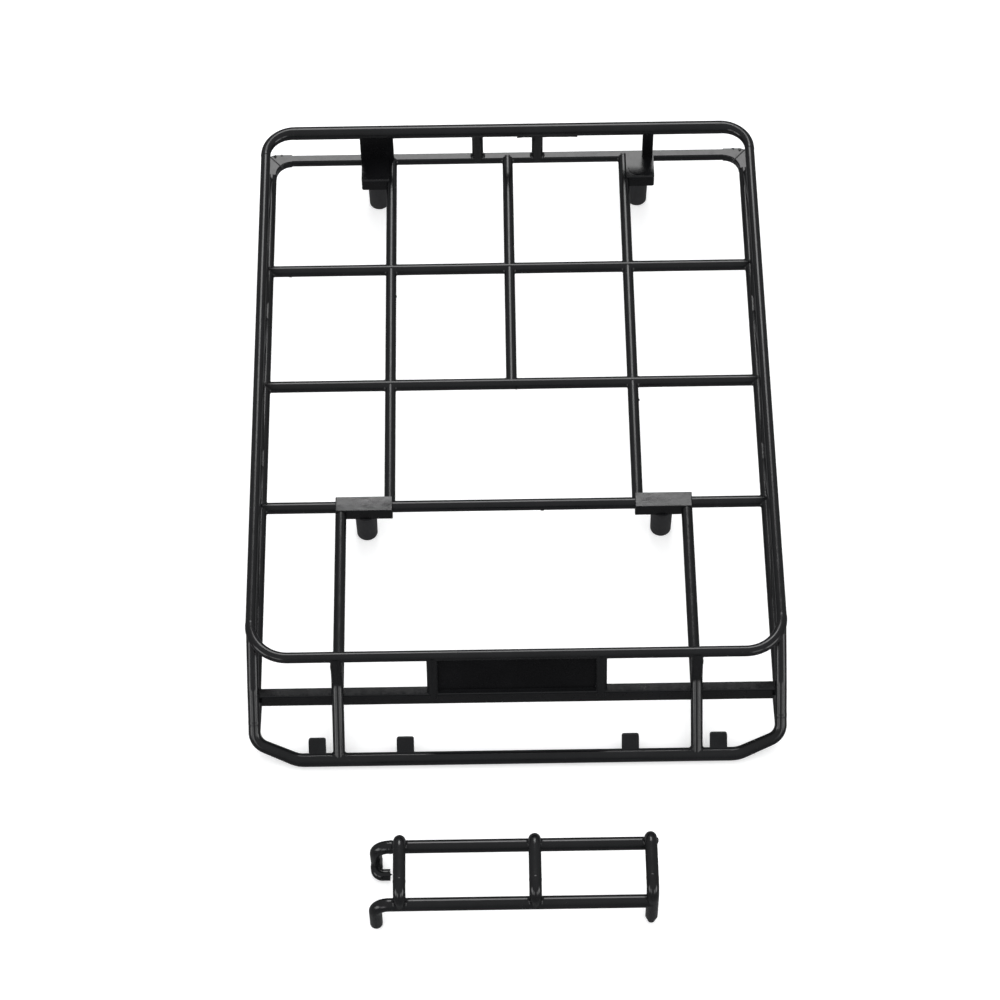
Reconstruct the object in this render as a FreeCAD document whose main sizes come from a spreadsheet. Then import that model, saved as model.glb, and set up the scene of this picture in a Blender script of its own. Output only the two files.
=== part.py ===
import FreeCAD, Part
import math
import os
import sys

# Scale-model roof luggage rack with its clip-on ladder.
# Frame: +Z up, +Y towards the rear of the rack, +X to the right when looking
# along +Y. The origin is under the middle of the rack and ladder together, on
# the surface that they stand on. Millimetres.

doc = FreeCAD.newDocument("LuggageRack")
sheet = doc.addObject("Spreadsheet::Sheet", "Dims")

CELLS = [
    ("rear_y", 98.2, "rear rail axes, distance behind the origin"),
    ("floor_z", 10.6, "axis height of the floor bars"),
    ("rail_rise", 10.5, "upper rails above the floor bars"),
    ("top_half", 57.35, "upper side rails, half spacing"),
    ("low_half", 56.7, "lower side rails, half spacing"),
    ("dia_side", 2.22, "upper side rails"),
    ("dia_back", 3.1, "upper rear rail"),
    ("dia_front", 2.36, "upper front rail"),
    ("dia_rear", 2.62, "lower rear rail"),
    ("flat_up", 1.05, "flat top of the lower rear rail above its axis"),
    ("dia_low", 2.44, "lower rails"),
    ("dia_cross", 2.6, "floor crossbars"),
    ("dia_string", 2.48, "floor stringers"),
    ("dia_run", 2.5, "front stringers"),
    ("bend_rear", 6.5, "upper rear corner bend"),
    ("bend_front", 8.2, "upper front corner bend"),
    ("bend_low", 3.6, "inner radius of the lower rear corners"),
    ("bay", 33.0, "pitch of the floor crossbars"),
    ("hoop_run", 143.7, "upper rear rail to upper front rail"),
    ("sill_run", 147.15, "rear rails to the middle of the front sill"),
    ("sill_deep", 2.1, "front sill, depth"),
    ("sill_high", 4.6, "front sill, height"),
    ("sill_up", 1.4, "front sill, top above the bar axis"),
    ("sill_half", 55.8, "front sill, half length"),
    ("string_x", 27.85, "outer floor stringers"),
    ("run_x", 38.8, "front stringers and posts"),
    ("nose_run", 158.2, "rear rails to the nose bar"),
    ("nose_drop", 8.9, "nose bar below the floor bars"),
    ("dia_nose", 3.0, "nose bar"),
    ("dia_leg", 2.58, "nose legs and corner struts"),
    ("leg_x", 57.0, "nose legs, half spacing"),
    ("leg_up", 16.1, "length up the nose slope to the leg's knee"),
    ("post_up", 17.6, "length up the nose slope to the post's knee"),
    ("dia_post", 2.6, "front posts"),
    ("strut_run", 136.6, "rear rails to the head of the corner struts"),
    ("nose_half", 46.0, "half length of the straight nose bar"),
    ("nose_cut_x", 47.7, "start of the nose chamfer"),
    ("nose_cut_up", 4.1, "height of the nose chamfer up the slope"),
    ("centre_x", 7.15, "rear centre struts"),
    ("dia_centre", 2.66, "rear centre struts"),
    ("plate_in", 27.3, "rear backing plate, inner edge"),
    ("plate_out", 35.2, "rear backing plate, outer edge"),
    ("flat_fore", 1.15, "rear plates, face in front of the rail axis"),
    ("flat_aft", 0.5, "rear plates, face behind the rail axis"),
    ("strut_x", 33.6, "right rear strut"),
    ("strut_wide", 2.5, "right rear strut, width"),
    ("seat_in", 28.4, "rear boss plates, inner edge"),
    ("seat_out", 35.05, "rear boss plates, outer edge"),
    ("seat_run", 7.6, "rear boss plates, reach in front of the rail"),
    ("seat_top", 1.42, "boss plates, top above the floor bar axis"),
    ("seat_thick", 3.35, "boss plates, thickness"),
    ("disc_rad", 2.35, "raised disc on the rear boss plates"),
    ("disc_high", 0.15, "raised disc height"),
    ("fore_in", 27.2, "front boss plates, inner edge"),
    ("fore_out", 40.0, "front boss plates, outer edge"),
    ("fore_deep", 3.9, "front boss plates, depth"),
    ("boss_rx", 31.2, "rear bosses, half spacing"),
    ("boss_ry", 4.6, "rear bosses in front of the rear rails"),
    ("boss_fx", 33.3, "front bosses, half spacing"),
    ("boss_foot", 2.35, "boss radius at the foot"),
    ("boss_head", 2.46, "boss radius under the plate"),
    ("pilot_rad", 0.85, "pilot hole radius"),
    ("pilot_deep", 7.0, "pilot hole depth"),
    ("lat_pitch", 20.6, "pitch of the side diagonals"),
    ("lat_first", 3.9, "first diagonal's foot in front of the rear rails"),
    ("dia_lat", 1.5, "side diagonals"),
    ("panel_half", 17.6, "light panel, half width between its posts"),
    ("panel_thick", 1.2, "light panel, thickness"),
    ("post_half", 18.15, "light panel posts, half spacing"),
    ("dia_panel", 2.6, "light panel posts"),
    ("tab_a", 24.4, "inner lamp tabs, half spacing"),
    ("tab_b", 43.5, "outer lamp tabs, half spacing"),
    ("tab_wide", 3.75, "lamp tab width"),
    ("tab_reach", 4.9, "lamp tab reach from the nose bar axis"),
    ("tab_thick", 1.1, "lamp tab thickness"),
    ("rail_a", 183.1, "rear ladder stile in front of the rear rails"),
    ("rail_b", 196.5, "front ladder stile in front of the rear rails"),
    ("rail_z", 9.0, "ladder stile axis height"),
    ("dia_stile", 2.84, "ladder stiles"),
    ("dia_rung", 2.65, "ladder rungs"),
    ("rung_rise", 4.6, "rungs above the stiles"),
    ("rung_bend", 2.5, "bend radius of the rungs"),
    ("rung_a", 25.3, "left rung, to the left"),
    ("rung_b", 3.1, "middle rung, to the right"),
    ("rung_c", 27.5, "right rung, to the right"),
    ("leg_left", 30.5, "ladder legs, to the left"),
    ("elbow_bend", 3.0, "bend radius of the ladder's elbows"),
    ("dia_foot", 2.7, "plain ladder leg"),
    ("dia_hook", 2.5, "hooked ladder leg"),
    ("hook_reach", 2.9, "hook arm"),
    ("hook_offset", 2.7, "hook arm in front of its leg"),
    ("peg_rad", 0.85, "ladder peg"),
    ("peg_long", 2.1, "ladder peg length"),
]
for row, (alias, value, note) in enumerate(CELLS, start=1):
    sheet.set("A%d" % row, alias)
    sheet.set("B%d" % row, str(value))
    sheet.set("C%d" % row, note)
    sheet.setAlias("B%d" % row, alias)
doc.recompute()


def cell(alias):
    """The value of a driving dimension, for the code-set guide wires."""
    return float(sheet.get(alias))


class Names(dict):
    def __missing__(self, key):
        raise KeyError(key)


def bind(text):
    """Put the sheet's name in front of every alias used in an expression."""
    out, word = [], ""
    aliases = {c[0] for c in CELLS}
    for ch in text + " ":
        if ch.isalnum() or ch == "_":
            word += ch
        else:
            out.append("Dims." + word if word in aliases else word)
            word = ""
            out.append(ch)
    return "".join(out).strip()


nodes = {}
serial = [0]


def fresh(kind, label=None):
    serial[0] += 1
    obj = doc.addObject(kind, "F%03d" % serial[0])
    obj.Label = label or "blank_%03d" % serial[0]
    return obj


def node(obj, label):
    """Name a finished sub-part: its label is its node and its file."""
    obj.Label = label
    nodes[label] = obj
    return obj


def place(obj, x, y, z, axis=(0, 0, 1), angle="0"):
    obj.setExpression("Placement", bind(
        "placement(vector(%s;%s;%s);rotation(vector(%d;%d;%d);%s))"
        % (x, y, z, axis[0], axis[1], axis[2], angle)))
    return obj


# Heights and distances are written from these, in terms of the sheet.
def Y(run):
    """Row Y of something so far in front of the rear rails."""
    return "(rear_y-(%s))" % run


Z_FLOOR = "floor_z"
Z_TOP = "(floor_z+rail_rise)"
SLOPE = "0.70710678"     # the nose slopes at 45 degrees


def nose_y(up):
    return "(rear_y-nose_run+%s*(%s))" % (SLOPE, up)


def nose_z(up):
    return "(floor_z-nose_drop+%s*(%s))" % (SLOPE, up)


def bar_x(dia, x0, x1, y, z):
    """A round bar along X."""
    c = fresh("Part::Cylinder")
    c.setExpression("Radius", bind("(%s)/2" % dia))
    c.setExpression("Height", bind("(%s)-(%s)" % (x1, x0)))
    return place(c, x0, y, z, (0, 1, 0), "90")


def bar_yz(dia, x, y0, z0, y1, z1):
    """A round bar in a plane of constant X."""
    c = fresh("Part::Cylinder")
    c.setExpression("Radius", bind("(%s)/2" % dia))
    c.setExpression("Height", bind(
        "sqrt(((%s)-(%s))^2+((%s)-(%s))^2)" % (y1, y0, z1, z0)))
    return place(c, x, y0, z0, (1, 0, 0),
                 "atan2(-((%s)-(%s));(%s)-(%s))" % (y1, y0, z1, z0))


def block(x0, x1, y0, y1, z0, z1):
    b = fresh("Part::Box")
    b.setExpression("Length", bind("(%s)-(%s)" % (x1, x0)))
    b.setExpression("Width", bind("(%s)-(%s)" % (y1, y0)))
    b.setExpression("Height", bind("(%s)-(%s)" % (z1, z0)))
    return place(b, x0, y0, z0)


def elbow(dia, bend, x, y, z, start):
    """A quarter bend in the horizontal plane; start is its first angle."""
    t = fresh("Part::Torus")
    t.setExpression("Radius1", bind(bend))
    t.setExpression("Radius2", bind("(%s)/2" % dia))
    t.Angle3 = 90
    return place(t, x, y, z, (0, 0, 1), start)


def group(items):
    c = fresh("Part::Compound")
    c.Links = list(items)
    return c


def fuse(items):
    f = fresh("Part::MultiFuse")
    f.Shapes = list(items)
    return f


def cut(base, tools):
    if len(tools) > 1:
        tool = group(tools)
    else:
        tool = tools[0]
    c = fresh("Part::Cut")
    c.Base = base
    c.Tool = tool
    return c


def rounded(base, radius, keep):
    """Round the edges of base that keep() chooses."""
    doc.recompute()
    f = fresh("Part::Fillet")
    f.Base = base
    f.Edges = [(i, radius, radius) for i, e in enumerate(base.Shape.Edges, 1) if keep(e)]
    return f


def guide(points, bends):
    """A wire of straight runs joined by tangent arcs, for a swept tube."""
    v = [FreeCAD.Vector(*p) for p in points]
    edges, start = [], v[0]
    for i in range(1, len(v) - 1):
        a = (v[i - 1] - v[i]).normalize()
        b = (v[i + 1] - v[i]).normalize()
        turn = math.pi - a.getAngle(b)
        reach = bends[i - 1] * math.tan(turn / 2)
        p, q = v[i] + a * reach, v[i] + b * reach
        mid_dir = (a + b).normalize()
        far = bends[i - 1] / math.cos(turn / 2) - bends[i - 1]
        if (p - start).Length > 1e-6:
            edges.append(Part.LineSegment(start, p).toShape())
        edges.append(Part.Arc(p, v[i] + mid_dir * far, q).toShape())
        start = q
    if (v[-1] - start).Length > 1e-6:
        edges.append(Part.LineSegment(start, v[-1]).toShape())
    g = fresh("Part::Feature")
    g.Shape = Part.Wire(edges)
    return g


def ring(dia, point, direction):
    """A circle across a guide wire, for one end of a swept tube."""
    c = fresh("Part::Circle")
    c.setExpression("Radius", bind("(%s)/2" % dia))
    c.Placement = FreeCAD.Placement(
        FreeCAD.Vector(*point),
        FreeCAD.Rotation(FreeCAD.Vector(0, 0, 1), FreeCAD.Vector(*direction)))
    return c


def tube(points, bends, dia, dia_end=None):
    g = guide(points, bends)
    a, b = FreeCAD.Vector(*points[0]), FreeCAD.Vector(*points[1])
    c, d = FreeCAD.Vector(*points[-2]), FreeCAD.Vector(*points[-1])
    s = fresh("Part::Sweep")
    ends = [ring(dia, a, b - a)]
    if dia_end:
        ends.append(ring(dia_end, d, d - c))
    s.Sections = ends
    s.Spine = (g, ["Edge%d" % (i + 1) for i in range(len(g.Shape.Edges))])
    s.Solid = True
    s.Frenet = False
    s.Transition = "Right corner"
    return s


rear_y, floor_z, rise = cell("rear_y"), cell("floor_z"), cell("rail_rise")
S = math.sqrt(0.5)


def nose(x, up):
    return (x, rear_y - cell("nose_run") + S * up, floor_z - cell("nose_drop") + S * up)


# ---------------------------------------------------------------- upper rails
top_rear = node(bar_x("dia_back", "-(top_half-bend_rear)", "top_half-bend_rear",
                      Y("0"), Z_TOP), "top_rail_rear")
top_left = node(bar_yz("dia_side", "-top_half", Y("bend_rear"), Z_TOP,
                       Y("hoop_run-bend_front"), Z_TOP), "top_rail_left")
top_right = node(bar_yz("dia_side", "top_half", Y("bend_rear"), Z_TOP,
                        Y("hoop_run-bend_front"), Z_TOP), "top_rail_right")
top_front = node(bar_x("dia_front", "-(top_half-bend_front)", "top_half-bend_front",
                       Y("hoop_run"), Z_TOP), "top_rail_front")


def rear_elbow(side):
    """A rear bend that swells from the side rail to the thicker rear rail."""
    r, half = cell("bend_rear"), cell("top_half")
    z = floor_z + rise
    arc = fresh("Part::Circle")
    arc.setExpression("Radius", bind("bend_rear"))
    if side < 0:
        arc.Angle1, arc.Angle2 = 90, 180
    else:
        arc.Angle1, arc.Angle2 = 0, 90
    place(arc, "%d*(top_half-bend_rear)" % side, Y("bend_rear"), Z_TOP)
    at_rear = ring("dia_back", (side * (half - r), rear_y, z), (1, 0, 0))
    at_side = ring("dia_side", (side * half, rear_y - r, z), (0, 1, 0))
    s = fresh("Part::Sweep")
    s.Sections = [at_rear, at_side] if side < 0 else [at_side, at_rear]
    s.Spine = (arc, ["Edge1"])
    s.Solid = True
    s.Frenet = False
    return s


node(rear_elbow(-1), "top_corner_rear_left")
node(rear_elbow(1), "top_corner_rear_right")
hoop_left = node(elbow("dia_front", "bend_front", "-(top_half-bend_front)",
                       Y("hoop_run-bend_front"), Z_TOP, "180"), "top_corner_front_left")
hoop_right = node(elbow("dia_front", "bend_front", "top_half-bend_front",
                        Y("hoop_run-bend_front"), Z_TOP, "270"), "top_corner_front_right")

# ------------------------------------------------- rear plates between the rails
backing = cut(block("-plate_out", "-plate_in", Y("flat_fore"), Y("-flat_aft"),
                    "floor_z-seat_thick+seat_top", Z_TOP), [top_rear])
node(backing, "rear_backing_plate")
strut_r = cut(block("strut_x-strut_wide/2", "strut_x+strut_wide/2", Y("flat_fore"),
                    Y("-flat_aft"), "floor_z-seat_thick+seat_top", Z_TOP), [top_rear])
node(strut_r, "rear_strut_right")

# --------------------------------------------------------------- lower rails
low_reach = "(bend_low+dia_low/2)"
above = block("-low_half", "low_half", Y("dia_rear"), Y("-dia_rear"),
              "floor_z+flat_up", "floor_z+flat_up+2")
low_rear = cut(bar_x("dia_rear", "-(low_half-%s)" % low_reach, "low_half-%s" % low_reach,
                     Y("0"), Z_FLOOR), [above, backing, strut_r])
node(low_rear, "lower_rail_rear")


def gusset(side):
    """The webbed corner of the lower rails: square outside, hollow arc inside."""
    body = doc.addObject("PartDesign::Body", "Gusset%s" % ("L" if side < 0 else "R"))
    sk = body.newObject("Sketcher::SketchObject", body.Name + "Plan")
    plane = [f for f in body.Origin.OriginFeatures if f.Role == "XY_Plane"][0]
    sk.AttachmentSupport = [(plane, "")]
    sk.MapMode = "FlatFace"
    w = cell("dia_low")
    r = cell("bend_low")
    q = w + r
    k = 2.2
    V = FreeCAD.Vector
    m = -side
    # local origin at the outer corner, X inwards from the side, Y forwards
    line = [((m * k, 0), (m * q, 0)), ((m * q, 0), (m * q, -w)),
            ((m * w, -q), (0, -q)), ((0, -q), (0, -k))]
    for a, b in line:
        sk.addGeometry(Part.LineSegment(V(a[0], a[1], 0), V(b[0], b[1], 0)), False)
    c = V(m * q, -q, 0)
    sk.addGeometry(Part.Arc(V(m * q, -w, 0), c + V(-m * r * S, r * S, 0), V(m * w, -q, 0)), False)
    o = V(m * k, -k, 0)
    sk.addGeometry(Part.Arc(V(0, -k, 0), o + V(-m * k * S, k * S, 0), V(m * k, 0, 0)), False)
    pad = body.newObject("PartDesign::Pad", body.Name + "Pad")
    pad.Profile = sk
    pad.setExpression("Length", bind("dia_low*0.86"))
    pad.Midplane = True
    doc.recompute()
    fil = body.newObject("PartDesign::Fillet", body.Name + "Edge")
    rim = []
    for i, e in enumerate(pad.Shape.Edges, 1):
        b = e.BoundBox
        flat = b.ZLength < 1e-6
        on_end = (abs(b.XLength) < 1e-6 and abs(b.XMin - m * q) < 1e-6) or \
                 (abs(b.YLength) < 1e-6 and abs(b.YMin + q) < 1e-6)
        if flat and not on_end:
            rim.append("Edge%d" % i)
    fil.Base = (pad, rim)
    fil.Radius = 0.3
    body.Tip = fil
    place(body, "%d*(low_half+dia_low/2)" % side, "rear_y+dia_low/2", Z_FLOOR)
    return body


gussets = {-1: node(gusset(-1), "lower_corner_rear_left"),
           1: node(gusset(1), "lower_corner_rear_right")}

# --------------------------------------------------------------- nose
nose_bar = node(bar_x("dia_nose", "-nose_half", "nose_half", nose_y("0"), nose_z("0")),
                "nose_bar")


def nose_corner(side):
    up = cell("nose_cut_up")
    pts = [nose(side * cell("leg_x"), up + 4.4), nose(side * cell("leg_x"), up),
           nose(side * cell("nose_cut_x"), 0), nose(side * cell("nose_half"), 0)]
    return tube(pts, [3.6, 6.5], "dia_leg", "dia_nose")


corner_l = node(nose_corner(-1), "nose_corner_left")
corner_r = node(nose_corner(1), "nose_corner_right")


def leg(side):
    """The knee under the corner strut and the leg down the nose slope."""
    x = side * cell("leg_x")
    a = (x, rear_y - cell("strut_run"), floor_z + rise)
    b = nose(x, cell("leg_up"))
    c = nose(x, cell("nose_cut_up") + 4.4)
    d = (b[0] - a[0], b[1] - a[1], b[2] - a[2])
    n = math.sqrt(d[1] ** 2 + d[2] ** 2)
    start = (x, b[1] - d[1] / n * 2.4, b[2] - d[2] / n * 2.4)
    return a, b, c, start


legs = {}
for side, word in ((-1, "left"), (1, "right")):
    a, b, c, start = leg(side)
    legs[side] = node(tube([start, b, c], [2.6], "dia_leg"), "nose_leg_%s" % word)
    knee_y = "(%s+(%s-%s)/sqrt((%s-%s)^2+(%s-%s)^2)*2.4)" % (
        nose_y("leg_up"), Y("strut_run"), nose_y("leg_up"),
        Y("strut_run"), nose_y("leg_up"), Z_TOP, nose_z("leg_up"))
    knee_z = "(%s+(%s-%s)/sqrt((%s-%s)^2+(%s-%s)^2)*2.4)" % (
        nose_z("leg_up"), Z_TOP, nose_z("leg_up"),
        Y("strut_run"), nose_y("leg_up"), Z_TOP, nose_z("leg_up"))
    strut = bar_yz("dia_leg", "%d*leg_x" % side, knee_y, knee_z, Y("strut_run"), Z_TOP)
    rails = [top_left, hoop_left] if side < 0 else [top_right, hoop_right]
    node(cut(strut, rails), "corner_strut_%s" % word)

# lower side rails: straight, from the gusseted corner to the nose leg
low_side = {}
for side, word in ((-1, "left"), (1, "right")):
    straight = bar_yz("dia_low", "%d*low_half" % side, Y(low_reach), Z_FLOOR,
                      Y("sill_run+1.75"), Z_FLOOR)
    low_side[side] = node(cut(straight, [legs[side], corner_l if side < 0 else corner_r]),
                          "lower_rail_%s" % word)

# --------------------------------------------------------------- floor bars
cross = {}
for n in (1, 2):
    cross[n] = node(cut(bar_x("dia_cross", "-low_half", "low_half", Y("%d*bay" % n), Z_FLOOR),
                        [low_side[-1], low_side[1]]), "floor_crossbar_%d" % n)

seat = {}
for side, word in ((-1, "left"), (1, "right")):
    x0, x1 = ("fore_in", "fore_out") if side > 0 else ("-fore_out", "-fore_in")
    plate = block(x0, x1, Y("3*bay+fore_deep/2"), Y("3*bay-fore_deep/2"),
                  "floor_z+seat_top-seat_thick", "floor_z+seat_top")
    plate = rounded(plate, 0.22, lambda e: e.BoundBox.ZLength > 1 or
                    (e.BoundBox.ZMin > floor_z))
    seat[side] = node(plate, "boss_plate_front_%s" % word)
cross[3] = node(cut(bar_x("dia_cross", "-low_half", "low_half", Y("3*bay"), Z_FLOOR),
                    [low_side[-1], low_side[1], seat[-1], seat[1]]), "floor_crossbar_3")

string = {}
for side, word in ((-1, "left"), (1, "right")):
    rod = bar_yz("dia_string", "%d*string_x" % side, Y("0"), Z_FLOOR, Y("3*bay"), Z_FLOOR)
    string[side] = node(cut(rod, [low_rear, cross[1], cross[2], cross[3], seat[side], backing]
                            if side < 0 else
                            [low_rear, cross[1], cross[2], cross[3], seat[side]]),
                        "floor_stringer_%s" % word)
string[0] = node(cut(bar_yz("dia_string", "0", Y("0"), Z_FLOOR, Y("2*bay"), Z_FLOOR),
                     [low_rear, cross[1], cross[2]]), "floor_stringer_centre")

# rear boss plates: a shelf in front of the rear rail, outside the stringer
rear_seat = {}
for side, word in ((-1, "left"), (1, "right")):
    x0, x1 = ("seat_in", "seat_out") if side > 0 else ("-seat_out", "-seat_in")
    plate = block(x0, x1, Y("seat_run"), Y("0"),
                  "floor_z+seat_top-seat_thick", "floor_z+seat_top")
    front = rear_y - cell("seat_run")
    out_x = side * cell("seat_out")
    plate = rounded(plate, 0.5, lambda e: (
        (e.BoundBox.YMax < front + 0.01 and e.BoundBox.XLength > 1 and e.BoundBox.ZMin > floor_z)
        or (e.BoundBox.ZLength > 1 and e.BoundBox.YMax < front + 0.01
            and abs(e.BoundBox.XMin - out_x) < 0.01)))
    disc = fresh("Part::Cylinder")
    disc.setExpression("Radius", bind("disc_rad"))
    disc.setExpression("Height", bind("disc_high+1"))
    place(disc, "%d*boss_rx" % side, Y("boss_ry-0.2"), "floor_z+seat_top-1")
    rear_seat[side] = node(cut(fuse([plate, disc]), [low_rear, string[side],
                                                     backing if side < 0 else strut_r]),
                           "boss_plate_rear_%s" % word)

# --------------------------------------------------------------- screw bosses
def boss(x, y, label):
    post = fresh("Part::Cone")
    post.setExpression("Radius1", bind("boss_foot"))
    post.setExpression("Radius2", bind("boss_head"))
    post.setExpression("Height", bind("floor_z+seat_top-seat_thick"))
    place(post, x, y, "0")
    foot = rounded(post, 0.3, lambda e: e.BoundBox.ZMax < 0.01)
    hole = fresh("Part::Cylinder")
    hole.setExpression("Radius", bind("pilot_rad"))
    hole.setExpression("Height", bind("pilot_deep"))
    place(hole, x, y, "0")
    return node(cut(foot, [hole]), label)


boss("-boss_rx", Y("boss_ry"), "screw_boss_rear_left")
boss("boss_rx", Y("boss_ry"), "screw_boss_rear_right")
boss("-boss_fx", Y("3*bay"), "screw_boss_front_left")
boss("boss_fx", Y("3*bay"), "screw_boss_front_right")

# --------------------------------------------------------------- rear centre struts
centre = []
for sign in ("-", ""):
    c = fresh("Part::Cylinder")
    c.setExpression("Radius", bind("dia_centre/2"))
    c.setExpression("Height", bind("rail_rise"))
    place(c, sign + "centre_x", Y("0"), Z_FLOOR)
    centre.append(c)
node(cut(group(centre), [low_rear, top_rear]), "rear_centre_struts")

# --------------------------------------------------------------- front posts and sill
post = {}
for side, word in ((-1, "left"), (1, "right")):
    x = side * cell("run_x")
    top = (x, rear_y - cell("hoop_run"), floor_z + rise)
    knee = nose(x, cell("post_up"))
    toe = nose(x, 0)
    post[side] = tube([top, knee, toe], [4.5], "dia_post")

sill_box = block("-sill_half", "sill_half", Y("sill_run+sill_deep/2"), Y("sill_run-sill_deep/2"),
                 "floor_z+sill_up-sill_high", "floor_z+sill_up")
sill_front = rear_y - cell("sill_run") - cell("sill_deep") / 2
sill_base = floor_z + cell("sill_up") - cell("sill_high")
sill_top = floor_z + cell("sill_up")


def long_edge(e, y, z):
    b = e.BoundBox
    return b.XLength > 5 and abs(b.YMax - y) < 0.01 and abs(b.ZMax - z) < 0.01


doc.recompute()
sill_round = fresh("Part::Fillet")
sill_round.Base = sill_box
edges = []
for i, e in enumerate(sill_box.Shape.Edges, 1):
    if long_edge(e, sill_front, sill_base):
        edges.append((i, 0.9, 0.9))
    elif long_edge(e, sill_front, sill_top):
        edges.append((i, 0.35, 0.35))
sill_round.Edges = edges
sill = node(cut(sill_round, [low_side[-1], low_side[1], legs[-1], legs[1]]), "front_sill")
for side, word in ((-1, "left"), (1, "right")):
    node(cut(post[side], [top_front, sill, nose_bar]), "front_post_%s" % word)
    node(cut(bar_yz("dia_run", "%d*run_x" % side, Y("3*bay"), Z_FLOOR,
                    Y("sill_run-sill_deep/2"), Z_FLOOR), [seat[side], cross[3]]),
         "front_stringer_%s" % word)

# --------------------------------------------------------------- light panel
sill_face_z = "(floor_z+sill_up)"
panel_posts = {}
for side, word in ((-1, "left"), (1, "right")):
    rod = bar_yz("dia_panel", "%d*post_half" % side, Y("sill_run+0.35"), Z_FLOOR,
                 Y("hoop_run"), Z_TOP)
    panel_posts[side] = node(cut(rod, [top_front, sill]), "light_panel_post_%s" % word)
panel = block("-panel_half", "panel_half", "0", "panel_thick", "0",
              "sqrt((sill_run+0.35-hoop_run)^2+rail_rise^2)")
place(panel, "-panel_half", Y("sill_run+0.35"), Z_FLOOR, (1, 0, 0),
      "atan2(-(sill_run+0.35-hoop_run);rail_rise)")
node(cut(panel, [top_front, sill, panel_posts[-1], panel_posts[1]]), "light_panel")

# --------------------------------------------------------------- lamp tabs
tabs = []
for expr in ("-tab_b", "-tab_a", "tab_a", "tab_b"):
    t = block("-tab_wide/2", "tab_wide/2", "0", "tab_reach", "0", "tab_thick")
    t = rounded(t, 0.5, lambda e: e.BoundBox.ZLength > 0.5 and e.BoundBox.YMin > 4)
    f = fresh("Part::Compound")
    f.Links = [t]
    place(f, expr, "%s+%s*tab_thick/2" % (nose_y("0"), SLOPE),
          "%s-%s*tab_thick/2" % (nose_z("0"), SLOPE), (1, 0, 0), "45")
    tabs.append(f)
node(cut(group(tabs), [nose_bar]), "lamp_tabs")

# --------------------------------------------------------------- side lattices
for side, word in ((-1, "left"), (1, "right")):
    rods = []
    for n in range(6):
        low_y = Y("lat_first+%s*lat_pitch" % (n if n % 2 == 0 else n + 1))
        top_y = Y("lat_first+%s*lat_pitch" % (n + 1 if n % 2 == 0 else n))
        # the foot and head lean out by a little, so neighbours stay apart
        shift_low = "-1.1" if n % 2 == 0 else "+1.1"
        shift_top = "+1.1" if n % 2 == 0 else "-1.1"
        rods.append(bar_yz("dia_lat", "%d*(top_half+low_half)/2" % side,
                           "(%s%s)" % (low_y, shift_low), Z_FLOOR,
                           "(%s%s)" % (top_y, shift_top), Z_TOP))
    rails = [low_side[side], gussets[side], top_left if side < 0 else top_right]
    node(cut(group(rods), rails), "side_lattice_%s" % word)

# --------------------------------------------------------------- ladder
ya, yb = rear_y - cell("rail_a"), rear_y - cell("rail_b")
zl, zr = cell("rail_z"), cell("rail_z") + cell("rung_rise")
bend = cell("rung_bend")
rungs = {}
for key, sign, word in (("rung_a", -1, "left"), ("rung_b", 1, "middle"), ("rung_c", 1, "right")):
    x = sign * cell(key)
    foot = zl if word != "right" else cell("peg_long")
    rungs[word] = tube([(x, ya, zl), (x, ya, zr), (x, yb, zr), (x, yb, foot)],
                       [bend, bend], "dia_rung")
stile_a = bar_x("dia_stile", "-(leg_left-elbow_bend)", "rung_c", Y("rail_a"), "rail_z")
stile_b = bar_x("dia_stile", "-(leg_left-elbow_bend)", "rung_c", Y("rail_b"), "rail_z")
stile_a = node(stile_a, "ladder_stile_rear")
stile_b = cut(stile_b, [rungs["right"]])
stile_b = node(stile_b, "ladder_stile_front")
node(cut(rungs["left"], [stile_a, stile_b]), "ladder_rung_left")
node(cut(rungs["middle"], [stile_a, stile_b]), "ladder_rung_middle")
node(cut(rungs["right"], [stile_a]), "ladder_rung_right")

peg = fresh("Part::Cylinder")
peg.setExpression("Radius", bind("peg_rad"))
peg.setExpression("Height", bind("peg_long"))
place(peg, "rung_c", Y("rail_b"), "0")
node(rounded(peg, 0.2, lambda e: e.BoundBox.ZMax < 0.01), "ladder_peg")

xl, er = -cell("leg_left"), cell("elbow_bend")
hook_z = cell("dia_hook") / 2
node(tube([(xl + er, ya, zl), (xl, ya, zl), (xl, ya, 2 * hook_z)], [er], "dia_stile",
          "dia_hook"), "ladder_leg_rear")
leg_b = tube([(xl + er, yb, zl), (xl, yb, zl), (xl, yb, 0)], [er], "dia_stile", "dia_foot")
node(rounded(leg_b, 0.35, lambda e: e.BoundBox.ZMax < 0.01), "ladder_leg_front")
yh = ya - cell("hook_offset")
node(tube([(xl, ya + hook_z, hook_z), (xl, yh, hook_z),
           (xl + cell("hook_reach"), yh, hook_z)], [1.3], "dia_hook"), "ladder_hook")

doc.recompute()

# --------------------------------------------------------------- checks and files
problems = []
for obj in doc.Objects:
    if any(word in ("Invalid", "Error") for word in obj.State):
        problems.append("%s (%s): %s" % (obj.Name, obj.Label, obj.State))
for label, obj in nodes.items():
    shape = obj.Shape
    if shape.isNull() or not shape.isValid() or not shape.Solids:
        problems.append("%s: shape is null, invalid or has no solid" % label)
if problems:
    print("\n".join(problems))
    sys.exit(1)

os.makedirs("parts", exist_ok=True)
for name in os.listdir("parts"):
    if name.endswith(".step") and name[:-5] not in nodes:
        os.remove(os.path.join("parts", name))
box = FreeCAD.BoundBox()
for label, obj in nodes.items():
    obj.Shape.exportStep(os.path.join("parts", label + ".step"))
    box.add(obj.Shape.BoundBox)
    print("%-26s solids %d  volume %8.2f" % (label, len(obj.Shape.Solids), obj.Shape.Volume))
print(len(nodes), "nodes", box)
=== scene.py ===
import bmesh
import bpy
import math
from mathutils import Matrix, Vector


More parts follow.
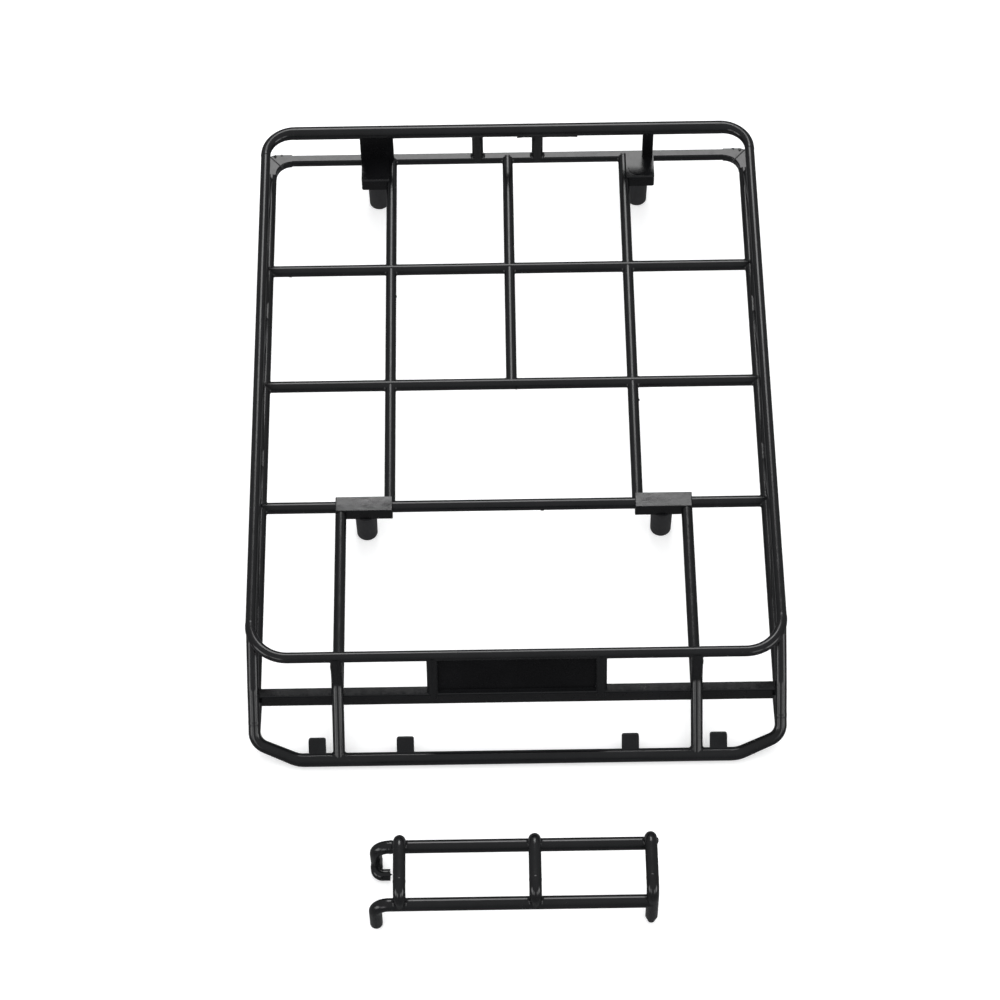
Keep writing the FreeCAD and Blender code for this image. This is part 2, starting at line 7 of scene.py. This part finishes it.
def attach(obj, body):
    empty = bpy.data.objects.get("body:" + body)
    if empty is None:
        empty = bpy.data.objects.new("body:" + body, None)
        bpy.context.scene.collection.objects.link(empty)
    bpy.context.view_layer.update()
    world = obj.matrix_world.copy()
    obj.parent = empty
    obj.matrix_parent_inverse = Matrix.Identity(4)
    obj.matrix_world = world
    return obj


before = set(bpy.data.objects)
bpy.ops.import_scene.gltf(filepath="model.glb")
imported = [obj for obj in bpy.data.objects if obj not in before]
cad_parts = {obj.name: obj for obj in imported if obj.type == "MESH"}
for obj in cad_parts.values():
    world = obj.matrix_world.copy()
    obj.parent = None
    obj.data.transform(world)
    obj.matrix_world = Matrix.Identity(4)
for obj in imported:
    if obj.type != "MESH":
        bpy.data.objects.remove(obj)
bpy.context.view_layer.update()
MM = 0.001

scene = bpy.context.scene
scene.view_settings.view_transform = "Standard"
scene.view_settings.look = "None"
scene.view_settings.exposure = 0.0
scene.view_settings.gamma = 1.0

# ------------------------------------------------------------------ camera
PITCH, ROLL = math.radians(57.5), math.radians(0.876)
right = Vector((1, 0, 0))
ahead = Vector((0, math.cos(PITCH), -math.sin(PITCH)))
up = Vector((0, math.sin(PITCH), math.cos(PITCH)))
right2 = right * math.cos(ROLL) - up * math.sin(ROLL)
up2 = right * math.sin(ROLL) + up * math.cos(ROLL)
cam_data = bpy.data.cameras.new("camera")
cam_data.sensor_width = 36.0
cam_data.lens = 117.24
cam_data.clip_start, cam_data.clip_end = 0.05, 20
cam = bpy.data.objects.new("camera", cam_data)
rot = Matrix((right2, up2, -ahead)).transposed().to_4x4()
cam.matrix_world = Matrix.Translation(Vector((-3.07, -392.81, 628.017)) * MM) @ rot
scene.collection.objects.link(cam)
scene.camera = cam


# ------------------------------------------------------------------ materials
def nodes_of(mat):
    mat.use_nodes = True
    nt = mat.node_tree
    nt.nodes.clear()
    return nt


def plastic(name, base=(0.0042, 0.0043, 0.0048), rough=0.19, seed=0.0, scuffs=0.35,
            gloss=0.42):
    """Moulded near-black plastic: even satin skin, faint flow marks, fine scuffs."""
    mat = bpy.data.materials.new(name)
    nt = nodes_of(mat)
    n, link = nt.nodes, nt.links
    out = n.new("ShaderNodeOutputMaterial")
    bsdf = n.new("ShaderNodeBsdfPrincipled")
    link.new(bsdf.outputs["BSDF"], out.inputs["Surface"])
    bsdf.inputs["IOR"].default_value = 1.5
    bsdf.inputs["Specular IOR Level"].default_value = gloss
    co = n.new("ShaderNodeTexCoord")
    mp = n.new("ShaderNodeMapping")
    mp.inputs["Location"].default_value = (seed, seed * 0.7, -seed)
    link.new(co.outputs["Object"], mp.inputs["Vector"])

    def noise(scale, detail=3.0, rough_=0.5, distort=0.0):
        t = n.new("ShaderNodeTexNoise")
        t.inputs["Scale"].default_value = scale
        t.inputs["Detail"].default_value = detail
        t.inputs["Roughness"].default_value = rough_
        t.inputs["Distortion"].default_value = distort
        link.new(mp.outputs["Vector"], t.inputs["Vector"])
        return t

    def ramp(src, a, b, lo, hi):
        r = n.new("ShaderNodeMapRange")
        r.inputs["From Min"].default_value = a
        r.inputs["From Max"].default_value = b
        r.inputs["To Min"].default_value = lo
        r.inputs["To Max"].default_value = hi
        link.new(src, r.inputs["Value"])
        return r.outputs["Result"]

    blush = noise(90, 4, 0.6)
    mix = n.new("ShaderNodeMix")
    mix.data_type = "RGBA"
    mix.inputs["A"].default_value = (*base, 1)
    mix.inputs["B"].default_value = (base[0] * 1.9, base[1] * 1.9, base[2] * 1.9, 1)
    link.new(ramp(blush.outputs["Fac"], 0.42, 0.72, 0.0, 0.55), mix.inputs["Factor"])
    link.new(mix.outputs["Result"], bsdf.inputs["Base Color"])

    skin = noise(700, 5, 0.55)
    scuff = noise(260, 8, 0.72, 1.2)
    add = n.new("ShaderNodeMath")
    add.operation = "ADD"
    link.new(ramp(skin.outputs["Fac"], 0.3, 0.7, rough - 0.05, rough + 0.05), add.inputs[0])
    link.new(ramp(scuff.outputs["Fac"], 0.58, 0.74, 0.0, scuffs * 0.4), add.inputs[1])
    link.new(add.outputs["Value"], bsdf.inputs["Roughness"])

    peel = noise(1500, 4, 0.6)
    wave = noise(240, 2, 0.4)
    b1 = n.new("ShaderNodeBump")
    b1.inputs["Strength"].default_value = 0.10
    b1.inputs["Distance"].default_value = 0.00006
    link.new(peel.outputs["Fac"], b1.inputs["Height"])
    b2 = n.new("ShaderNodeBump")
    b2.inputs["Strength"].default_value = 0.22
    b2.inputs["Distance"].default_value = 0.00012
    link.new(wave.outputs["Fac"], b2.inputs["Height"])
    link.new(b1.outputs["Normal"], b2.inputs["Normal"])
    link.new(b2.outputs["Normal"], bsdf.inputs["Normal"])
    return mat


RACK = plastic("rack_black_plastic", seed=0.0)
LADDER = plastic("ladder_black_plastic", seed=3.1, rough=0.18)
MATTE = plastic("boss_matte_plastic", base=(0.012, 0.012, 0.0132), seed=5.7, rough=0.46)
# a darker, less glossy copy of the plastic: painted shade on the light panel, the rear backing plate and the
# right rear strut
PAINTED_SHADE_PANEL = plastic("panel_painted_shade_plastic", base=(0.0032, 0.0032, 0.0036), seed=8.3, rough=0.24,
                gloss=0.12)


# a darker, duller copy of the plastic for faces turned to the front: painted shade
PAINTED_SHADE_FRONT = plastic("front_painted_shade_plastic", base=(0.0036, 0.0036, 0.0041), seed=6.2, rough=0.30,
               gloss=0.16)


# a glossier copy of the plastic for the front plate tops: painted highlight
PAINTED_HIGHLIGHT_TOP = plastic("top_painted_highlight_plastic", seed=7.7, rough=0.16, gloss=0.8)


def finish_of(name):
    if name.startswith("screw_boss"):
        return MATTE
    # these three parts get the darker, less glossy copy of the plastic as painted shade
    if name in ("light_panel", "rear_backing_plate", "rear_strut_right"):
        return PAINTED_SHADE_PANEL
    return LADDER if name.startswith("ladder") else RACK


for name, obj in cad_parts.items():
    mesh = obj.data
    mesh.materials.clear()
    mesh.materials.append(finish_of(name))
    mesh.polygons.foreach_set("use_smooth", [True] * len(mesh.polygons))
    mesh.set_sharp_from_angle(angle=math.radians(35))
    if name.startswith("boss_plate") or name == "front_sill":
        # a darker, duller copy of the plastic on the front faces is painted shade, and a glossier copy on the
        # front plate tops is a painted highlight, set to match the tones of the photo
        mesh.materials.append(PAINTED_SHADE_FRONT)
        mesh.materials.append(PAINTED_HIGHLIGHT_TOP)
        for poly in mesh.polygons:
            if poly.normal.y < -0.8:
                poly.material_index = 1
            # upward tops of the front plates take the glossier copy as a painted highlight
            elif poly.normal.z > 0.95 and name.startswith("boss_plate_front"):
                poly.material_index = 2


# ------------------------------------------------------------------ moulded details
# Row frame in millimetres, as in the CAD: rear rails at REAR, floor bars at FLOOR.
REAR, FLOOR, TOP = 98.2, 10.6, 21.1
HALF = math.sqrt(0.5)


def build(name, parts, body, mat):
    """One piece made of closed islands, each (points in mm, faces)."""
    verts, faces = [], []
    for pts, fcs in parts:
        base = len(verts)
        verts += [tuple(c * MM for c in q) for q in pts]
        faces += [tuple(base + i for i in f) for f in fcs]
    me = bpy.data.meshes.new(name)
    me.from_pydata(verts, [], faces)
    me.materials.append(mat)
    me.polygons.foreach_set("use_smooth", [True] * len(me.polygons))
    bm = bmesh.new()
    bm.from_mesh(me)
    bmesh.ops.recalc_face_normals(bm, faces=bm.faces)
    bm.to_mesh(me)
    bm.free()
    me.set_sharp_from_angle(angle=math.radians(50))
    ob = bpy.data.objects.new(name, me)
    scene.collection.objects.link(ob)
    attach(ob, body)
    return ob


def loop_solid(rings):
    """Closed tube-like island from rings of equal length, the last joined to the first."""
    n, m = len(rings), len(rings[0])
    pts = [q for r in rings for q in r]
    fcs = []
    for i in range(n):
        for j in range(m):
            a, b = i * m + j, i * m + (j + 1) % m
            c, d = ((i + 1) % n) * m + (j + 1) % m, ((i + 1) % n) * m + j
            fcs.append((a, b, c, d))
    return pts, fcs


def web(at, along, main, r, big, reach=0.5, steps=6, count=40):
    """The concave fillet where a tube of radius r, leaving point at in direction
    along, meets a tube of radius big that runs in direction main."""
    a, m = Vector(along).normalized(), Vector(main).normalized()
    side = m.cross(a).normalized()
    p = Vector(at)
    rings = []
    for j in range(count):
        th = 2 * math.pi * j / count
        u = m * math.cos(th) + side * math.sin(th)
        h = reach * math.cos(th) ** 2 + 0.015

        def spot(rho, tau):
            off = min(abs(rho * math.sin(th)), big)
            return p + a * (math.sqrt(big * big - off * off) + tau) + u * rho

        prof = []
        for k in range(steps + 1):
            f = math.pi / 2 * k / steps
            prof.append(spot(r + h - h * math.cos(f), h - h * math.sin(f)))
        prof.append(spot(r + h, -0.12))
        prof.append(spot(r - 0.25, -0.12))
        prof.append(spot(r - 0.25, h))
        rings.append([tuple(q) for q in prof])
    return loop_solid(rings)


def sleeve(at, along, r, length, proud=0.05, count=32):
    """A faint raised band round a tube, with rolled edges, left by a mould joint."""
    a = Vector(along).normalized()
    u = a.orthogonal().normalized()
    v = a.cross(u)
    p = Vector(at)
    prof = [(-0.5, -0.2), (-0.5, 0.0), (-0.36, 0.7), (-0.2, 1.0), (0.2, 1.0), (0.36, 0.7), (0.5, 0.0),
            (0.5, -0.2)]
    rings = []
    for j in range(count):
        th = 2 * math.pi * j / count
        w = u * math.cos(th) + v * math.sin(th)
        rings.append([tuple(p + a * (q[0] * length) + w * (r + (q[1] * proud if q[1] > -0.1 else -0.2)))
                      for q in prof])
    return loop_solid(rings)


def nub(at, out, size, stretch=(1, 1, 1), rows=8, count=14, seed=0):
    """A small lopsided bump of flash, half sunk in the surface."""
    o = Vector(out).normalized()
    u = o.orthogonal().normalized()
    v = o.cross(u)
    p = Vector(at)
    pts, fcs = [], []
    for i in range(1, rows):
        f = math.pi * i / rows
        for j in range(count):
            t = 2 * math.pi * j / count
            k = 1 + 0.13 * math.sin(3 * t + seed) * math.sin(f) + 0.08 * math.sin(5 * f + seed)
            d = (u * math.cos(t) + v * math.sin(t)) * math.sin(f) * k + o * math.cos(f) * (0.75 * k)
            pts.append(tuple(p + Vector((d.x * stretch[0], d.y * stretch[1], d.z * stretch[2])) * size))
    for i in range(rows - 2):
        for j in range(count):
            a, b = i * count + j, i * count + (j + 1) % count
            fcs.append((a, b, b + count, a + count))
    cap = len(pts)
    pts.append(tuple(p + o * 0.75 * size))
    pts.append(tuple(p - o * 0.75 * size))
    last = (rows - 2) * count
    for j in range(count):
        fcs.append((cap, (j + 1) % count, j))
        fcs.append((cap + 1, last + j, last + (j + 1) % count))
    return pts, fcs


def ribbon(points, normal, widths, high):
    """A closed low ridge along points: widths across, high at its crest."""
    n = Vector(normal).normalized()
    rings = []
    for i, q in enumerate(points):
        q = Vector(q)
        a = Vector(points[min(i + 1, len(points) - 1)]) - Vector(points[max(i - 1, 0)])
        s = a.cross(n).normalized()
        w, h = widths[i] / 2, high[i]
        rings.append([tuple(q + s * (w * c) + n * d) for c, d in
                      ((-1, -0.12), (-1, 0), (-0.55, h * 0.8), (0, h), (0.55, h * 0.8), (1, 0), (1, -0.12))])
    m = len(rings[0])
    pts = [q for r in rings for q in r]
    fcs = [tuple(range(m))[::-1], tuple((len(rings) - 1) * m + j for j in range(m))]
    for i in range(len(rings) - 1):
        for j in range(m):
            a, b = i * m + j, i * m + (j + 1) % m
            fcs.append((a, b, b + m, a + m))
    return pts, fcs


X, Y, Z = (1, 0, 0), (0, 1, 0), (0, 0, 1)
CROSS, STRING, LOW, REAR_R = 1.3, 1.24, 1.22, 1.31
bays = [REAR - 33 * n for n in (1, 2, 3)]
webs = []
for x in (-27.85, 0.0, 27.85):
    webs.append(web((x, REAR, FLOOR), (0, -1, 0), X, STRING, REAR_R))
    webs.append(web((x, bays[0], FLOOR), Y, X, STRING, CROSS))
    webs.append(web((x, bays[0], FLOOR), (0, -1, 0), X, STRING, CROSS))
    webs.append(web((x, bays[1], FLOOR), Y, X, STRING, CROSS))
    if x:
        webs.append(web((x, bays[1], FLOOR), (0, -1, 0), X, STRING, CROSS))
build("floor_crossing_fillets", webs, "rack", RACK)

ends = []
for side in (-1, 1):
    for y in bays:
        ends.append(web((side * 56.7, y, FLOOR), (-side, 0, 0), Y, CROSS - 0.04, LOW, reach=0.6))
build("floor_end_fillets", ends, "rack", RACK)

struts = []
for x in (-7.15, 7.15):
    struts.append(web((x, REAR, FLOOR), Z, X, 1.33, REAR_R, reach=0.45))
    struts.append(web((x, REAR, TOP), (0, 0, -1), X, 1.33, 1.55, reach=0.6))
build("rear_strut_fillets", struts, "rack", RACK)

# front posts: webs under the front hoop and at the nose bar, and a knee band
hoop_y = REAR - 143.7
nose0 = Vector((0, REAR - 158.2, FLOOR - 8.9))
slope = Vector((0, HALF, HALF))
front = []
for x in (-38.8, 38.8):
    head = Vector((x, hoop_y, TOP))
    knee = Vector((x, 0, 0)) + nose0 + slope * 17.6
    down = (knee - head).normalized()
    front.append(web(tuple(head), tuple(down), X, 1.3, 1.18, reach=0.4))
    front.append(web(tuple(Vector((x, 0, 0)) + nose0), tuple(slope), X, 1.3, 1.5, reach=0.55))
    front.append(sleeve(tuple(head + down * 2.9), tuple(down), 1.3, 1.5, 0.07))
build("front_post_fillets", front, "rack", RACK)

# mould joint bands and steps on the side rails, front corners and nose
bands = []
for side in (-1, 1):
    bands.append(sleeve((side * 57.35, REAR - 135.5, TOP), Y, 1.135, 1.1, 0.04))
    bands.append(sleeve((side * 57.35, REAR - 6.5, TOP), Y, 1.12, 0.9, 0.04))
    bands.append(sleeve(tuple(Vector((side * 57.0, 0, 0)) + nose0 + slope * 8.6), tuple(slope), 1.29, 0.9, 0.04))
build("rail_joint_bands", bands, "rack", RACK)

# the lower side rails run out past the sill as a thin lip that fades down the nose
tails = []
for side in (-1, 1):
    x = side * 55.75
    pts, wid, high = [], [], []
    for k in range(9):
        t = k / 8
        pts.append((x, REAR - 148.6 - 4.6 * t, 10.7 - 4.4 * t))
        wid.append(1.5 * (1 - t) + 0.25)
        high.append(0.55 * (1 - t) + 0.04)
    tails.append(ribbon(pts, (-side, 0, 0), wid, high))
build("lower_rail_tails", tails, "rack", RACK)

# flash: a low lip under the upper rear rail, seams on the webbed corners, small nubs
flash = []
line = [(2.3 + 1.6 * k, REAR - 1.25, TOP - 0.94) for k in range(10)]
flash.append(ribbon(line, (0, -0.8, -0.6), [0.5] * 10,
                    [0.34, 0.2, 0.22, 0.26, 0.24, 0.2, 0.23, 0.25, 0.22, 0.3]))
for side in (-1, 1):
    seam = [(side * (57.2 - 0.42 * k), REAR + 0.7 - 0.48 * k, FLOOR + 1.03) for k in range(9)]
    flash.append(ribbon(seam, Z, [0.34] * 9, [0.1, 0.14, 0.16, 0.15, 0.17, 0.16, 0.14, 0.12, 0.1]))
    flash.append(nub((side * 54.3, REAR + 0.95, FLOOR + 0.95), (0, 0.3, 1), 0.34, seed=side))
    flash.append(nub((side * 55.9, REAR + 0.6, FLOOR + 1.0), (0, 0, 1), 0.34, (1, 1.5, 1.3), seed=2 + side))
flash.append(nub((29.05, bays[1] - 5.2, FLOOR + 0.2), X, 0.3, seed=1.3))
flash.append(nub((-26.65, bays[0] - 8.0, FLOOR + 0.3), X, 0.26, seed=2.1))
flash.append(nub((1.1, bays[1] - 1.5, FLOOR + 0.2), (0.7, -0.7, 0), 0.3, seed=0.4))
flash.append(nub((6.4, bays[2] - 1.22, FLOOR - 0.35), (0, -1, -0.4), 0.3, (1.5, 1, 1), seed=3.4))
flash.append(nub((-51.5, bays[0] - 1.2, FLOOR - 0.4), (0, -1, -0.4), 0.26, (1.6, 1, 1), seed=4.4))
build("mould_flash", flash, "rack", RACK)

# ladder: webs where the rungs leave the stiles, bands at the elbows
LZ = 9.0
rear_stile, front_stile = REAR - 183.1, REAR - 196.5
steps_ = []
for x in (-25.3, 3.1, 27.5):
    steps_.append(web((x, rear_stile, LZ), Z, X, 1.325, 1.42, reach=0.45))
    if x < 27:
        steps_.append(web((x, front_stile, LZ), Z, X, 1.325, 1.42, reach=0.5))
    steps_.append(sleeve((x, front_stile + 3.1, LZ + 4.6), Y, 1.325, 0.7, 0.035))
steps_.append(sleeve((-27.3, rear_stile, LZ), X, 1.42, 0.8, 0.045))
build("ladder_fillets", steps_, "ladder", LADDER)
collar = [sleeve((-30.5, rear_stile - 0.9, 1.42), Y, 1.25, 0.8, 0.06),
          nub((-28.0, rear_stile - 2.7, 1.36), X, 1.12, (0.45, 1, 1), 12, 22, seed=0.9)]
build("ladder_hook_tip", collar, "ladder", LADDER)


# ------------------------------------------------------------------ floor and light
def stage_mesh(name, verts, faces, mat):
    me = bpy.data.meshes.new(name)
    me.from_pydata(verts, [], faces)
    me.materials.append(mat)
    ob = bpy.data.objects.new(name, me)
    scene.collection.objects.link(ob)
    return ob


floor_mat = bpy.data.materials.new("floor_white")
nt = nodes_of(floor_mat)
out = nt.nodes.new("ShaderNodeOutputMaterial")
bs = nt.nodes.new("ShaderNodeBsdfPrincipled")
bs.inputs["Base Color"].default_value = (0.8, 0.8, 0.8, 1)
bs.inputs["Roughness"].default_value = 0.7
bs.inputs["Specular IOR Level"].default_value = 0.1
bs.inputs["Emission Color"].default_value = (1, 1, 1, 1)
bs.inputs["Emission Strength"].default_value = 0.38
nt.links.new(bs.outputs["BSDF"], out.inputs["Surface"])
floor = stage_mesh("floor", [(-3, -3, -0.00002), (3, -3, -0.00002), (3, 3, -0.00002), (-3, 3, -0.00002)],
                   [(0, 1, 2, 3)], floor_mat)
floor.visible_glossy = False          # the plastic mirrors the dim room, not the sheet

# The room: dim, a little lighter overhead and darkest below the horizon.
world = bpy.data.worlds.new("world")
scene.world = world
world.use_nodes = True
wt = world.node_tree
bg = wt.nodes["Background"]
bg.inputs["Color"].default_value = (0.97, 0.985, 1.0, 1)
wco = wt.nodes.new("ShaderNodeTexCoord")
wxyz = wt.nodes.new("ShaderNodeSeparateXYZ")
wmap = wt.nodes.new("ShaderNodeMapRange")
wmap.inputs["From Min"].default_value = -0.2
wmap.inputs["From Max"].default_value = 0.9
wmap.inputs["To Min"].default_value = 0.19
wmap.inputs["To Max"].default_value = 0.46
wt.links.new(wco.outputs["Generated"], wxyz.inputs["Vector"])
wt.links.new(wxyz.outputs["Z"], wmap.inputs["Value"])
wt.links.new(wmap.outputs["Result"], bg.inputs["Strength"])


def softbox(name, azimuth, elevation, distance, wide, tall, radiance, tint=(1, 1, 1)):
    """A soft light seen from the object at that azimuth (0 is straight behind it)
    and elevation; wide and tall are the angles it covers, in degrees."""
    az, el = math.radians(azimuth), math.radians(elevation)
    way = Vector((math.sin(az) * math.cos(el), math.cos(az) * math.cos(el), math.sin(el)))
    l = bpy.data.lights.new(name, "AREA")
    l.shape = "RECTANGLE"
    l.size = 2 * distance * math.tan(math.radians(wide / 2))
    l.size_y = 2 * distance * math.tan(math.radians(tall / 2))
    l.energy = radiance * math.pi * l.size * l.size_y
    l.color = tint
    ob = bpy.data.objects.new(name, l)
    scene.collection.objects.link(ob)
    ob.location = way * distance
    ob.rotation_euler = (-way).to_track_quat("-Z", "Y").to_euler()
    return ob


softbox("rear_softbox", 0, 45, 1.2, 26, 24, 5.6)
softbox("left_softbox", -118, 12, 1.2, 28, 22, 3.6)
softbox("right_softbox", 118, 12, 1.2, 28, 22, 3.6)
softbox("front_left_softbox", -150, 20, 1.2, 20, 20, 2.4)
softbox("front_right_softbox", 150, 20, 1.2, 20, 20, 2.4)
fill = softbox("overhead_fill", 180, 78, 1.5, 80, 80, 1.15)
fill.visible_glossy = False
